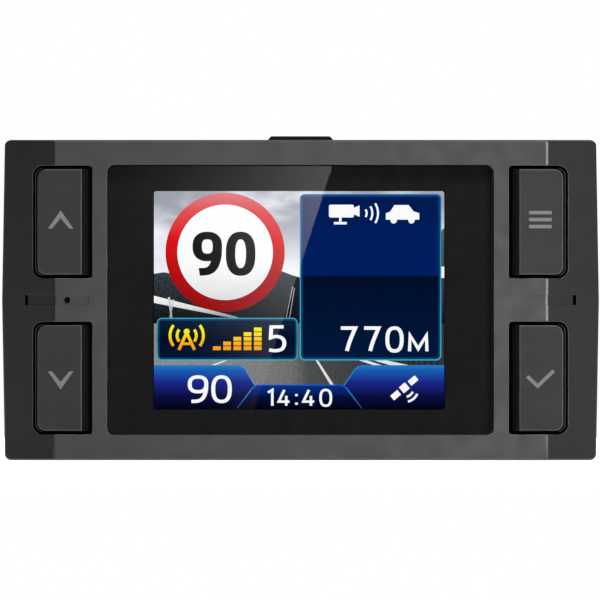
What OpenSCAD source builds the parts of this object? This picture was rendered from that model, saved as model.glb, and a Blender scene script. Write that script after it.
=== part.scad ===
// Radar detector with a built-in camera, display side towards -Y, windscreen side towards +Y.
// The origin is at the centre of the base, +Z is up. Millimetres.

/* [Housing] */
// Width across the ridges of the two side faces
body_w = 84.2; // [83.4:0.1:85]
// Height of the housing
body_h = 45.2; // [45:0.1:46.4]
// Depth of the housing from its face to its back
body_d = 34; // [34:0.5:37]
// Thickness of the side walls
wall = 1.6; // [1.4:0.1:1.7]
// How much narrower each side is at its top and bottom than at its ridge
end_taper = 0.38; // [0.2:0.02:0.6]
// Radius of the four long corners
corner_r = 0.9; // [0.6:0.1:1.2]
// Depth of the front cover, from the face to the parting line
front_d = 9.5; // [9.2:0.1:10]
// Distance from the centre to the edge where the face bends back
wing_x = 34.65; // [34.2:0.05:35]
// Angle of the outer facets of the face
wing_angle = 27; // [24:1:28]
// Chamfer round the back of the rear cover
back_chamfer = 2.2; // [1.6:0.1:2.4]

/* [Display] */
// Width of the display window
window_w = 54.3; // [53.6:0.1:54.6]
// Height of the display window
window_h = 38; // [37:0.1:38.4]
// Corner radius of the display window
window_r = 1.05; // [0.8:0.05:1.4]
// Width of the lit area of the display
screen_w = 40.8; // [40:0.1:41]
// Height of the lit area of the display
screen_h = 30.6; // [30:0.1:31]

/* [Buttons] */
// Width of a button opening
key_w = 8.3; // [7.9:0.1:8.4]
// Height of a button opening
key_h = 15.8; // [15:0.1:16]
// Distance of the button openings from the centre of the face, sideways
key_x = 33.45; // [33.3:0.05:33.5]
// Distance of the button openings from the centre of the face, up and down
key_z = 10.97; // [10.8:0.01:11.1]
// Gap between a button and its opening
key_gap = 0.45; // [0.3:0.05:0.5]
// How far the buttons stand proud of the face
key_proud = 0.45; // [0.3:0.05:0.6]
// Tilt of the top of each button, outward
key_tilt = 7; // [5:1:9]

/* [Camera and mount] */
// Distance of the lens axis from the centre, sideways
lens_x = 14; // [13.5:0.5:14.5]
// How far the lens ring stands proud of the back
ring_out = 3; // [2:0.1:3.5]
// Width of the raised pad of the mount
pad_w = 9.1; // [8.5:0.1:9.5]
// Length of the raised pad of the mount
pad_l = 14; // [12:0.5:15]
// Height of the raised pad above the top of the housing
pad_h = 0.55; // [0.5:0.05:1]

/* [Hidden] */

$fn = 48;
over = 1;                                    // how far a cutter runs past what it cuts
fit = 0.1;                                   // gap between parts that are fitted together by hand
mid_z = body_h / 2;
total_d = key_proud + body_d + ring_out;
face_y = key_proud - total_d / 2;            // the flat middle of the face
back_y = face_y + body_d;
parting_y = face_y + front_d;
draft = 0.15;                                // the face is this much smaller all round than the parting line
front_wall = 2;
back_wall = 1.8;

// Depths behind the face, in the order of the stack
window_d = 0.2;
window_t = 1;
mask_d = window_d + window_t;
mask_t = 0.2;
ledge_d = mask_d + mask_t;
panel_d = ledge_d + 0.05;
panel_t = 1.2;
frame_d = front_wall + 0.05;
frame_t = 1.95;
display_board_d = 5.2;
display_board_t = 1;
switch_t = 1.5;
plunger_t = 1.1;
plunger_d = display_board_d - switch_t - plunger_t;
battery_d = 6.8;
battery_t = 4.4;
main_board_d = 12.4;
main_board_t = 1.2;
main_back_d = main_board_d + main_board_t;

screen_x = -0.2;                             // the lit area sits a little to the left of the window's centre
panel_w = screen_w + 2.8;
panel_h = screen_h + 2.8;

// Screws that hold the covers together
screw_x = 26.2;
screw_z = 17.2;
screw_head_d = 10.6;
screw_r = 0.65;
boss_r = 2.1;
post_r = 2.5;

// Step on the outer side of each button, and the narrower gap beside it
key_step = 0.35;
skirt_gap = 0.27;
skirt_d = 2.6;
cap_d = 3.2;
slope_w = 1.03;                              // the long slope on the inner side, seen from the front
slope_angle = 54;

// Grooves in the face, beside the buttons
groove_in = 29.75;
groove_out = 38.8;
groove_h = 1.43;
groove_t = 0.25;
slot_d = 3.5;
slot_w = 0.48;
mic_x = -32.8;

// Windscreen side
lens_z = mid_z + 1.4;
lens_hole_r = 7.7;
laser_x = 31.4;
laser_z = mid_z + 7;
laser_w = 10;
laser_h = 8;
speaker_x = 14;
speaker_y = face_y + 22.4;
speaker_r = 8.5;
plate_w = 24;
plate_l = 18;
plate_t = 1.2;
plate_y = face_y + 19;
magnet_r = 3;
magnet_t = 1.5;
magnet_x = 8;

// Sockets in the sides
card_z = 16.4;
card_w = 12;
card_t = 1.3;
card_d = main_back_d + 0.3;
usb_z = 12;
usb_w = 7.7;
usb_t = 3.9;
usb_shell = 0.3;

function arc_points(cx, cz, r, a0, a1, n = 6) =
    [for (i = [0:n]) let (a = a0 + (a1 - a0) * i / n) [cx + r * cos(a), cz + r * sin(a)]];

function even(r) = [r, r, r, r];

// A rectangle with its own radius in each corner, anticlockwise from the upper right
function round_rect(w, h, r) =
    concat(arc_points(w / 2 - r[0], h / 2 - r[0], r[0], 0, 90),
           arc_points(-w / 2 + r[1], h / 2 - r[1], r[1], 90, 180),
           arc_points(-w / 2 + r[2], -h / 2 + r[2], r[2], 180, 270),
           arc_points(w / 2 - r[3], -h / 2 + r[3], r[3], 270, 360));

// Outline of the housing seen from the front: its sides come to a low ridge half-way up
function outline(inset = 0) =
    let (w = body_w / 2 - inset, e = w - end_taper, h = body_h / 2 - inset, r = max(corner_r - inset, 0.2))
    concat([[w, 0]], arc_points(e - r, h - r, r, 0, 90), arc_points(-e + r, h - r, r, 90, 180),
           [[-w, 0]], arc_points(-e + r, -h + r, r, 180, 270), arc_points(e - r, -h + r, r, 270, 360));

// A shape of the front view, extruded from depth d0 to depth d1 behind the face, centred at x, z
module slab(points, d0, d1, x = 0, z = mid_z)
    translate([x, face_y + d1, z]) rotate([90, 0, 0]) linear_extrude(height = d1 - d0) polygon(points);

// A plain block in the same terms
module block(w, h, d0, d1, x = 0, z = mid_z)
    translate([x - w / 2, face_y + d0, z - h / 2]) cube([w, d1 - d0, h]);

// A round bar along Y, from depth d0 to depth d1
module bar(r, d0, d1, x = 0, z = mid_z, r2 = -1)
    translate([x, face_y + d0, z]) rotate([-90, 0, 0]) cylinder(h = d1 - d0, r1 = r, r2 = r2 < 0 ? r : r2);

module each_screw() for (sx = [-1, 1], sz = [-1, 1]) translate([sx * screw_x, 0, sz * screw_z]) children();

// The solid shape of the front cover, pulled in by inset at its sides and by depth at its face
module front_form(inset, depth, end_d) {
    difference() {
        hull() {
            slab(outline(inset), end_d - 0.01, end_d);
            slab(outline(inset + draft), depth, depth + 0.01);
        }
        for (s = [-1, 1])
            translate([s * wing_x, face_y + depth / cos(wing_angle), 0]) rotate([0, 0, s * wing_angle])
                translate([s > 0 ? -5 : -20, -12, -over]) cube([25, 12, body_h + 2 * over]);
    }
}

// Outline of a button or its opening. side is -1 on the left and 1 on the right; outward corners are rounder
function key_outline(side, w, h, outer_r, inner_r) =
    side > 0 ? round_rect(w, h, [outer_r, inner_r, inner_r, outer_r])
             : round_rect(w, h, [inner_r, outer_r, outer_r, inner_r]);

module front_cover() color("#4a4a4a") {
    difference() {
        union() {
            difference() {
                front_form(0, 0, front_d);
                front_form(wall, front_wall, front_d + over);
            }
            each_screw() bar(boss_r, front_wall - 0.2, display_board_d);
        }
        slab(round_rect(window_w, window_h, even(window_r)), -over, ledge_d);
        slab(round_rect(panel_w + 0.5, panel_h + 0.5, even(0.6)), 0, front_wall + over, screen_x);
        for (s = [-1, 1], v = [-1, 1])
            slab(key_outline(s, key_w, key_h, 1.4, 0.4), -over, display_board_d - 0.1,
                 s * key_x, mid_z + v * key_z);
        for (s = [-1, 1]) difference() {
            slab(round_rect(groove_out - groove_in, groove_h, even(0.25)), -over, front_d / 2,
                 s * (groove_in + groove_out) / 2);
            front_form(0, groove_t, front_d);
        }
        // Deep slot at the outer end of each groove
        for (s = [-1, 1])
            slab(round_rect(slot_w, groove_h, even(0.1)), -over, slot_d, s * (groove_out - slot_w / 2));
        bar(0.44, -over, front_wall + over, mic_x);
        each_screw() bar(screw_r + 0.05, ledge_d + 0.3, display_board_d + over);
    }
}

// Rows of round holes inside a circle, for the loudspeaker
module grille() {
    pitch = 2.1;
    for (i = [-3:3], j = [-3:3])
        let (x = pitch * (i + (j % 2 == 0 ? 0 : 0.5)), y = pitch * j * sin(60))
        if (norm([x, y]) < 6.6)
            translate([speaker_x + x, speaker_y + y, -over]) cylinder(h = wall + 2 * over, r = 0.6, $fn = 24);
}

module vent_slots(x, z, count) for (i = [0:count - 1])
    translate([x + 2.4 * i, face_y + 14, z]) cube([1, 12, wall + 2 * over]);

module rear_cover() color("#333333") {
    back_in = body_d - back_wall;
    difference() {
        union() {
            difference() {
                hull() {
                    slab(outline(), front_d, body_d - back_chamfer);
                    slab(outline(back_chamfer), body_d - 0.01, body_d);
                }
                slab(outline(wall), front_d - over, back_in - 1);
                slab(outline(wall + 1), back_in - 2, back_in);
            }
            // Tongue that steps inside the front cover
            difference() {
                slab(outline(wall + fit), front_d - 1.5, front_d + over);
                slab(outline(wall + fit + 0.8), front_d - 2, front_d + 2 * over);
            }
            each_screw() bar(post_r, display_board_d + display_board_t, back_in + 0.5);
            // Webs that tie the screw posts to the top and bottom walls
            for (sx = [-1, 1], sz = [-1, 1])
                block(1.2, 3.4, front_d + 0.2, back_in - 1.2, sx * screw_x, mid_z + sz * (screw_z + 3.2));
            // Thickening that holds the mount plate
            translate([-plate_w / 2 - 1.5, plate_y - plate_l / 2 - 0.4, body_h - wall - 1.6])
                cube([plate_w + 3, plate_l + 1.9, 2]);
        }
        each_screw() {
            bar(1.75, screw_head_d, body_d + over);
            bar(screw_r + 0.3, 0, screw_head_d + over);
        }
        bar(lens_hole_r, back_in - 2, body_d + over, lens_x, lens_z);
        slab(round_rect(laser_w, laser_h, even(0.8)), body_d - 1.4, body_d + over, laser_x, laser_z);
        slab(round_rect(laser_w - 1.6, laser_h - 1.6, even(0.5)), back_in - 2, body_d, laser_x, laser_z);
        translate([-plate_w / 2, plate_y - plate_l / 2, body_h - plate_t])
            cube([plate_w, plate_l, plate_t + over]);
        for (s = [-1, 1]) translate([s * magnet_x, plate_y, body_h - plate_t - magnet_t])
            cylinder(h = magnet_t + over, r = magnet_r + fit);
        grille();
        for (s = [-1, 1]) vent_slots(s > 0 ? 16 : -26.6, body_h - wall - over, 5);
        vent_slots(-30, -over, 5);
        // Shallow grooves over the mouth of the radar horn
        for (i = [-3:3])
            slab(round_rect(29, 1.1, even(0.5)), body_d - 0.5, body_d + over, radar_x, radar_z + 2.8 * i);
        // Slots for the memory card and the power plug
        slab(round_rect(10, card_w, even(0.4)), card_d, card_d + card_t, -body_w / 2, card_z);
        slab(round_rect(10, usb_w + 0.8, even(0.5)), main_back_d - 0.3, main_back_d + usb_t + 0.5,
             body_w / 2, usb_z);
    }
}

module display_window() color("#101214", 0.5)
    slab(round_rect(window_w - 2 * fit, window_h - 2 * fit, even(window_r - fit)),
         window_d, window_d + window_t);

module display_mask() color("#050505") difference() {
    slab(round_rect(window_w - 2 * fit, window_h - 2 * fit, even(window_r - fit)), mask_d, mask_d + mask_t);
    slab(round_rect(screen_w + 0.3, screen_h + 0.3, even(0.3)), mask_d - over, mask_d + mask_t + over,
         screen_x);
}

module lcd_panel() color("#182a55") block(panel_w, panel_h, panel_d, panel_d + panel_t, screen_x);

module lcd_frame() color("#b8babd") difference() {
    slab(round_rect(panel_w + 2.6, panel_h + 3.2, even(0.8)), frame_d, frame_d + frame_t, screen_x);
    block(panel_w + 0.2, panel_h + 0.2, frame_d - over, panel_d + panel_t + 0.02, screen_x);
}

// A flat flexible strip that runs down, turns through half a circle and comes back, width along X
module ribbon(width, x, r, t, d, z, up, back)
    translate([x - width / 2, face_y + d, z]) rotate([90, 0, 90]) linear_extrude(height = width) {
        difference() {
            circle(r = r + t);
            circle(r = r);
            translate([-2 * r - over, 0]) square([4 * r + 2 * over, 2 * r + over]);
        }
        translate([-r - t, 0]) square([t, up]);
        translate([r, 0]) square([t, back]);
    }

module lcd_ribbon() color("#c07a28") ribbon(12, screen_x, 0.9, 0.12, 5.1, 3.6, 1.2, 1.6);

module display_board() color("#1d5a34") difference() {
    slab(round_rect(75, 38, even(1)), display_board_d, display_board_d + display_board_t);
    each_screw() bar(screw_r + 0.35, display_board_d - over, display_board_d + display_board_t + over);
    block(13, 3, display_board_d - over, display_board_d + display_board_t + over, screen_x, mid_z - 18.3);
}

module switch_bodies() color("#b9bcc0") for (s = [-1, 1], v = [-1, 1]) difference() {
    block(4.5, 4.5, display_board_d - switch_t, display_board_d, s * key_x, mid_z + v * key_z);
    bar(1.4, display_board_d - switch_t - over, display_board_d - 0.5, s * key_x, mid_z + v * key_z);
}

module plunger(s, v) color("#2a2a2a")
    bar(1.1, plunger_d, display_board_d - 1.1, s * key_x, mid_z + v * key_z);

// A button: hollow cap with a tilted top, a long slope on its inner side and a lower step on its outer side,
// bent flange and central post
module key(s, v) color("#3e3e3e") {
    cap_w = key_w - key_gap - skirt_gap;
    cap_h = key_h - 2 * key_gap;
    inner_x = key_x - key_w / 2 + key_gap;
    cap_x = s * (inner_x + cap_w / 2);
    x = s * key_x;
    z = mid_z + v * key_z;
    top_in = inner_x + slope_w;              // where the long slope meets the top
    difference() {
        union() {
            slab(key_outline(s, cap_w - key_step, cap_h, 1.2, 0.15), -key_proud - 0.4, cap_d,
                 cap_x - s * key_step / 2, z);
            slab(key_outline(s, cap_w, cap_h, 1.4, 0.15), skirt_d, cap_d, cap_x, z);
        }
        slab(key_outline(s, cap_w - 2.4, cap_h - 2, 0.6, 0.3), 1.6, display_board_d, x + s * 0.2, z);
        translate([s * top_in, face_y - key_proud, z]) rotate([0, 0, s * key_tilt])
            translate([-12, -3, -key_h / 2]) cube([24, 3, key_h]);
        translate([s * top_in, face_y - key_proud, z]) rotate([0, 0, s * -slope_angle])
            translate([s > 0 ? -8 : -2, -4, -key_h / 2]) cube([10, 4, key_h]);
    }
    // Flange that lies behind the wall of the front cover and keeps the button in
    intersection() {
        difference() {
            slab(key_outline(s, key_w + 1.2, key_h + 1.2, 1.6, 0.6), 0, display_board_d, x, z);
            slab(key_outline(s, cap_w - 2.4, cap_h - 2, 0.6, 0.3), -over, display_board_d + over,
                 x + s * 0.2, z);
        }
        difference() {
            front_form(-2, front_wall + 0.1, front_d);
            front_form(-4, front_wall + 0.75, front_d + over);
        }
    }
    bar(1.3, 1.2, plunger_d, x, z);
}

module microphone_boot() color("#1c1c1c") difference() {
    union() {
        bar(1.3, front_wall, front_wall + 1, mic_x);
        bar(2.1, front_wall + 0.8, display_board_d, mic_x);
    }
    bar(0.5, front_wall - over, front_wall + 2, mic_x);
    bar(1.55, front_wall + 1.3, display_board_d + over, mic_x);
}

module microphone() color("#c9ccd0") difference() {
    bar(1.5, front_wall + 1.35, display_board_d, mic_x);
    bar(0.4, front_wall, front_wall + 1.8, mic_x);
}

module backup_battery() color("#9fa6ad")
    slab(round_rect(30, 20, even(1.2)), battery_d, battery_d + battery_t, 0, mid_z + 1);

module board_connector() color("#151515")
    block(22, 3, display_board_d + display_board_t, main_board_d, 0, 6.2);

module main_board() color("#1d5a34") difference() {
    slab(round_rect(77, 38.4, even(1)), main_board_d, main_back_d);
    each_screw() bar(post_r + 0.35, main_board_d - over, main_back_d + over);
    // Relief for the webs of the screw posts
    for (sx = [-1, 1], sz = [-1, 1])
        block(1.8, 6, main_board_d - over, main_back_d + over, sx * screw_x, mid_z + sz * (screw_z + 3));
}

chip_x = 31;
chip_z = mid_z + 1.5;
module processor() color("#17181a") block(12, 12, main_back_d, main_back_d + 1, chip_x, chip_z);

module heat_sink() color("#9aa0a6") {
    base_d = main_back_d + 1;
    block(13, 13, base_d, base_d + 1.2, chip_x, chip_z);
    for (i = [-2:2]) block(1, 13, base_d + 1, base_d + 5.5, chip_x + 3 * i, chip_z);
}

module memory_chips() color("#17181a") for (z = [14, 27])
    block(9, 11, main_board_d - 1, main_board_d, 26, z);

module power_coils() color("#6a6d70") for (i = [0:2])
    block(5, 5, main_board_d - 2.6, main_board_d, -34 + 7 * i, 12);

module card_socket() color("#c9ccd0") {
    len = 15;
    x = -body_w / 2 + wall + 0.6 + len / 2;
    difference() {
        block(len, card_w + 2.4, main_back_d, main_back_d + 1.9, x, card_z);
        block(len, card_w - 0.6, card_d, card_d + card_t, x - 1, card_z);
    }
}

module usb_socket() color("#c9ccd0") {
    len = 8.6;
    x = body_w / 2 - wall - 0.6 - len / 2;
    difference() {
        slab(round_rect(len, usb_w, even(0.1)), main_back_d, main_back_d + usb_t, x, usb_z);
        block(len, usb_w - 2 * usb_shell, main_back_d + usb_shell, main_back_d + usb_t - usb_shell,
              x + usb_shell, usb_z);
    }
}

module usb_tongue() color("#151515")
    block(6.6, usb_w - 2.6, main_back_d + usb_t / 2 - 0.5, main_back_d + usb_t / 2 + 0.5,
          body_w / 2 - wall - 0.6 - 8.6 + usb_shell + 3.3, usb_z);

// Radar receiver: a metal horn that opens towards the windscreen
radar_x = -20;
radar_z = mid_z - 2.6;
radar_d = 16.8;
shield_x = radar_x + 7;
module radar_board() color("#1f4f7a") block(33, 24, radar_d - 1, radar_d, radar_x, radar_z);

module radar_horn() color("#b4b7ba") difference() {
    block(31, 21, radar_d, 31.4, radar_x, radar_z);
    hull() {
        block(28, 18, 31.3, 32, radar_x, radar_z);
        block(10.7, 4.3, radar_d + 5, radar_d + 5.1, radar_x, radar_z);
    }
    block(10.7, 4.3, radar_d + 1, radar_d + 6, radar_x, radar_z);
}

module radar_shield() color("#c9ccd0") difference() {
    block(16, 12, radar_d - 2.2, radar_d - 1, shield_x, radar_z);
    block(15, 11, radar_d - 1.9, radar_d, shield_x, radar_z);
}

module laser_window() color("#3a0a0e", 0.7)
    slab(round_rect(laser_w - 2 * fit, laser_h - 2 * fit, even(0.7)), body_d - 1.4, body_d + 0.2,
         laser_x, laser_z);

module laser_lens() color("#e8e8ff", 0.5) {
    bar(3, 27.6, 28.6, laser_x, laser_z);
    intersection() {
        translate([laser_x, face_y + 28.6 - 2.5, laser_z]) sphere(r = 3.9);
        bar(3, 28.6, 31, laser_x, laser_z);
    }
}

module laser_sensor() color("#17181a") difference() {
    block(7.2, 7.2, 23.5, 27.6, laser_x, laser_z);
    bar(2.6, 24.5, 28, laser_x, laser_z);
}

module laser_board() color("#1d5a34") block(9, 9, 22.5, 23.5, laser_x, laser_z);

module camera_board() color("#1d5a34") difference() {
    block(19, 17, 15.8, 16.8, lens_x, lens_z);
    for (s = [-1, 1]) bar(0.6, 15, 18, lens_x + s * 8.3, lens_z + s * 6.8);
}

module image_sensor() color("#2b2f3a") block(8, 7, 16.8, 17.5, lens_x, lens_z);

module lens_holder() color("#1c1c1c") difference() {
    union() {
        block(14.5, 14.5, 16.8, 19.6, lens_x, lens_z);
        bar(6.9, 19.5, 26.6, lens_x, lens_z);
        for (s = [-1, 1]) bar(1.5, 16.8, 19.6, lens_x + s * 8.3, lens_z + s * 6.8);
    }
    block(10, 9, 16.8 - over, 18.6, lens_x, lens_z);
    bar(5.85, 18.5, 27, lens_x, lens_z);
    for (s = [-1, 1]) bar(0.6, 15, 20, lens_x + s * 8.3, lens_z + s * 6.8);
}

module lens_barrel() color("#141414") difference() {
    union() {
        bar(5.8, 20.5, 29, lens_x, lens_z);
        bar(6.9, 28.5, body_d + ring_out - 0.7, lens_x, lens_z);
    }
    bar(3.6, 20, body_d, lens_x, lens_z);
    bar(4.1, 22.5, body_d, lens_x, lens_z);
    bar(5.2, body_d - 2, body_d + ring_out, lens_x, lens_z);
    bar(5.2, body_d + 0.8, body_d + ring_out, lens_x, lens_z, r2 = 6.7);
}

module inner_lenses() color("#d8e4f0", 0.4) for (d = [22.6, 27.5]) bar(4, d, d + 1.6, lens_x, lens_z);

// Domed front element of the lens
module front_lens() color("#203a5a", 0.6) intersection() {
    bar(5.1, body_d - 1.95, body_d + ring_out, lens_x, lens_z);
    translate([lens_x, face_y + body_d + 0.9 - 9.5, lens_z]) sphere(r = 9.5, $fn = 96);
}

module lens_ring() color("#55585c") difference() {
    union() {
        bar(lens_hole_r - fit, body_d - back_wall, body_d + 0.1, lens_x, lens_z);
        bar(9.8, body_d, body_d + ring_out - 0.6, lens_x, lens_z, r2 = 9.3);
        bar(9.3, body_d + ring_out - 0.61, body_d + ring_out, lens_x, lens_z, r2 = 8.7);
    }
    bar(7, body_d - back_wall - over, body_d + ring_out + over, lens_x, lens_z);
    bar(7, body_d + 1, body_d + ring_out + 0.01, lens_x, lens_z, r2 = 8.2);
}

module camera_ribbon() color("#c07a28") translate([lens_x + 6, face_y + main_back_d, lens_z - 6])
    rotate([90, 0, 0]) mirror([0, 0, 1]) linear_extrude(height = 15.8 - main_back_d) square([0.15, 12]);

module camera_screws() color("#8d9094") for (s = [-1, 1]) translate([s * 8.3, 0, s * 6.8]) {
    bar(1.15, 15, 15.8, lens_x, lens_z);
    bar(0.5, 15.7, 19.2, lens_x, lens_z);
}

// Loudspeaker, facing down
module speaker_frame() color("#2a2a2a") translate([speaker_x, speaker_y, wall]) difference() {
    cylinder(h = 3.4, r = speaker_r);
    translate([0, 0, -over]) cylinder(h = 2 + over, r = 7.7);
    cylinder(h = 3.4 + over, r = 4.2);
}

module speaker_cone() color("#101010") translate([speaker_x, speaker_y, wall]) rotate_extrude()
    polygon([[0, 1.3], [2.8, 0.9], [5.2, 1.5], [6.6, 0.8], [7.6, 1.3], [7.6, 1.6], [6.6, 1.1], [5.2, 1.8],
             [2.8, 1.2], [0, 1.6]]);

module speaker_magnet() color("#a4a7aa") translate([speaker_x, speaker_y, wall + 3.4]) {
    cylinder(h = 1.8, r = 5.4);
    translate([0, 0, -1]) cylinder(h = 1.1, r = 3);
}

// A thin round lead through a list of points, with a small bead at each bend between them
module lead(points, r) {
    for (i = [0:len(points) - 2]) {
        a = points[i];
        v = points[i + 1] - a;
        translate(a) rotate([0, acos(v[2] / norm(v)), atan2(v[1], v[0])])
            cylinder(h = norm(v), r = r, $fn = 24);
    }
    for (i = [1:len(points) - 2]) translate(points[i]) sphere(r = 1.5 * r, $fn = 24);
}

module speaker_leads() color("#b02a2a") for (i = [0, 1])
    lead([[speaker_x - 7, speaker_y - 2 + 2 * i, wall + 3.9], [3.5, face_y + main_back_d + 0.55, 9.5 + 2 * i]],
         0.4);

gps_x = -14.6;
gps_y = face_y + 23.4;
module gps_board() color("#1d5a34") translate([gps_x - 8, gps_y - 8, 35.2]) cube([16, 16, 0.8]);
module gps_antenna() color("#d9c9a6") {
    translate([gps_x - 7.5, gps_y - 7.5, 36]) cube([15, 15, 3.8]);
    translate([gps_x - 6.2, gps_y - 6.2, 39.8]) cube([12.4, 12.4, 0.1]);
}
module gps_lead() color("#202020")
    lead([[-5.9, gps_y - 4, 35.6], [-2, gps_y - 6.5, 35], [-1.5, face_y + main_back_d + 0.65, 31]], 0.5);

// Plate of the magnetic mount, flush with the top, with its raised pad
module mount_plate() color("#202020") difference() {
    union() {
        translate([-plate_w / 2 + fit, plate_y - plate_l / 2 + fit, body_h - plate_t])
            cube([plate_w - 2 * fit, plate_l - 2 * fit, plate_t]);
        translate([0, plate_y + pad_l / 2, body_h - 0.3]) rotate([90, 0, 0]) linear_extrude(height = pad_l)
            polygon([[-pad_w / 2, 0], [pad_w / 2, 0], [pad_w / 2, pad_h - 0.1],
                     [pad_w / 2 - 0.4, pad_h + 0.3], [-pad_w / 2 + 0.4, pad_h + 0.3],
                     [-pad_w / 2, pad_h - 0.1]]);
    }
    for (i = [-2:2]) translate([1.6 * i, plate_y, body_h - plate_t - over])
        cylinder(h = plate_t + pad_h + 2 * over, r = 0.55, $fn = 24);
}

module mount_magnets() color("#b8babd") for (s = [-1, 1])
    translate([s * magnet_x, plate_y, body_h - plate_t - magnet_t]) cylinder(h = magnet_t, r = magnet_r);

module contact_pads() color("#d8a840") for (i = [-2:2])
    translate([1.6 * i, plate_y, body_h - plate_t]) cylinder(h = plate_t + pad_h - 0.1, r = 0.5, $fn = 24);

// Screws that come in from the back, at the bottom of deep holes
module housing_screws() color("#8d9094") each_screw() difference() {
    union() {
        bar(1.5, screw_head_d, screw_head_d + 1.1);
        bar(screw_r, 2.4, screw_head_d + 0.1);
    }
    for (a = [0, 90]) translate([0, face_y + screw_head_d + 0.6, mid_z]) rotate([0, a, 0])
        translate([-1, 0, -0.15]) cube([2, over, 0.3]);
}

front_cover();
rear_cover();
display_window();
display_mask();
lcd_panel();
lcd_frame();
lcd_ribbon();
display_board();
switch_bodies();
microphone();
microphone_boot();
backup_battery();
board_connector();
main_board();
processor();
heat_sink();
memory_chips();
power_coils();
card_socket();
usb_socket();
usb_tongue();
radar_board();
radar_horn();
radar_shield();
laser_window();
laser_lens();
laser_sensor();
laser_board();
camera_board();
image_sensor();
lens_holder();
lens_barrel();
inner_lenses();
front_lens();
lens_ring();
camera_ribbon();
camera_screws();
speaker_frame();
speaker_cone();
speaker_magnet();
speaker_leads();
gps_board();
gps_antenna();
gps_lead();
mount_plate();
mount_magnets();
contact_pads();
housing_screws();
key(-1, 1);  // up_button
plunger(-1, 1);  // up_plunger
key(-1, -1);  // down_button
plunger(-1, -1);  // down_plunger
key(1, 1);  // menu_button
plunger(1, 1);  // menu_plunger
key(1, -1);  // ok_button
plunger(1, -1);  // ok_plunger
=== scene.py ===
"""Looks of a windscreen radar detector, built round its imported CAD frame.

Metres, +Z up, display towards -Y."""
import math

import bmesh
import bpy
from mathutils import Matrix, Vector
from mathutils.bvhtree import BVHTree


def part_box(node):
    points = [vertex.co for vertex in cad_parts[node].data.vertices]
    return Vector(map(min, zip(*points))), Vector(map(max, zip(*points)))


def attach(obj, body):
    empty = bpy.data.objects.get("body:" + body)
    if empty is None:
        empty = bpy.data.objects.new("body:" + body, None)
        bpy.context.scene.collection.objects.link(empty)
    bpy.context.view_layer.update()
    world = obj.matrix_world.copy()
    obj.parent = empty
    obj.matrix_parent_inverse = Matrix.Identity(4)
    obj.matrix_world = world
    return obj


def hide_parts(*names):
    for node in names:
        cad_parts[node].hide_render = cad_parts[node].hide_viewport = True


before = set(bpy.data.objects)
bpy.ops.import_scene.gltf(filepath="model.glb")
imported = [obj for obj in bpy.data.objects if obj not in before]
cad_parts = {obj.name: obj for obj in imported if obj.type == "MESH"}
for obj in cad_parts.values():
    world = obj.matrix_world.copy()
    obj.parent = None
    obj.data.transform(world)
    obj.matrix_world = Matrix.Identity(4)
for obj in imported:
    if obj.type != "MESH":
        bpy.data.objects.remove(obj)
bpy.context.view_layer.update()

MM = 0.001

# ---------------------------------------------------------------- places, all worked out from the frame

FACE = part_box("front_cover")[0][1]
MID_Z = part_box("rear_cover")[1][2] / 2
PANEL_LOW, PANEL_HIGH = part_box("lcd_panel")
PANEL_MARGIN = 1.4 * MM
SCREEN_X = PANEL_LOW[0] + PANEL_MARGIN
SCREEN_Z = PANEL_LOW[2] + PANEL_MARGIN
SCREEN_W = (PANEL_HIGH[0] - PANEL_MARGIN - SCREEN_X) / MM
SCREEN_H = (PANEL_HIGH[2] - PANEL_MARGIN - SCREEN_Z) / MM
SCREEN_Y = PANEL_LOW[1] - 0.01 * MM
LAYER = 0.008 * MM                 # step between the flat layers of the picture
LAYER_THICK = LAYER * 0.6

KEYS = {"up": "up_button", "down": "down_button", "menu": "menu_button", "ok": "ok_button"}


# ---------------------------------------------------------------- materials

def shader(name, colour, roughness, metallic=0.0, **sockets):
    """A Principled material. sockets are written with _ for the spaces in their names."""
    mat = bpy.data.materials.new(name)
    mat.use_nodes = True
    tree = mat.node_tree
    principled = tree.nodes["Principled BSDF"]
    principled.inputs["Base Color"].default_value = (*colour, 1)
    principled.inputs["Roughness"].default_value = roughness
    principled.inputs["Metallic"].default_value = metallic
    for key, value in sockets.items():
        principled.inputs[key.replace("_", " ")].default_value = value
    return mat, tree, principled


def node(tree, kind, **settings):
    """A new shader node. settings are inputs where it has one of that name, and properties otherwise."""
    made = tree.nodes.new("ShaderNode" + kind)
    for key, value in settings.items():
        if key in made.inputs:
            made.inputs[key].default_value = value
        else:
            setattr(made, key, value)
    return made


def place(tree, stretch=(1, 1, 1)):
    """Position on the object in its own frame, stretched along its axes."""
    coords = node(tree, "TexCoord")
    mapping = node(tree, "Mapping")
    mapping.inputs["Scale"].default_value = stretch
    tree.links.new(coords.outputs["Object"], mapping.inputs["Vector"])
    return mapping.outputs["Vector"]


def noise(tree, size, detail=3.0, stretch=(1, 1, 1)):
    """Soft noise whose blobs are about size metres across."""
    made = node(tree, "TexNoise", Scale=1 / size, Detail=detail)
    tree.links.new(place(tree, stretch), made.inputs["Vector"])
    return made.outputs["Fac"]


def remap(tree, value, low, high, source=(0.3, 0.7)):
    """Value brought smoothly from the range source to low and high."""
    made = node(tree, "MapRange", interpolation_type="SMOOTHSTEP")
    made.inputs["From Min"].default_value = source[0]
    made.inputs["From Max"].default_value = source[1]
    made.inputs["To Min"].default_value = low
    made.inputs["To Max"].default_value = high
    tree.links.new(value, made.inputs["Value"])
    return made.outputs["Result"]


def scaled(tree, value, source, low=0.0, high=1.0, clamp=True):
    """Value brought evenly from the range source to low and high."""
    made = node(tree, "MapRange", clamp=clamp)
    made.inputs["From Min"].default_value = source[0]
    made.inputs["From Max"].default_value = source[1]
    made.inputs["To Min"].default_value = low
    made.inputs["To Max"].default_value = high
    tree.links.new(value, made.inputs["Value"])
    return made.outputs["Result"]


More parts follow.
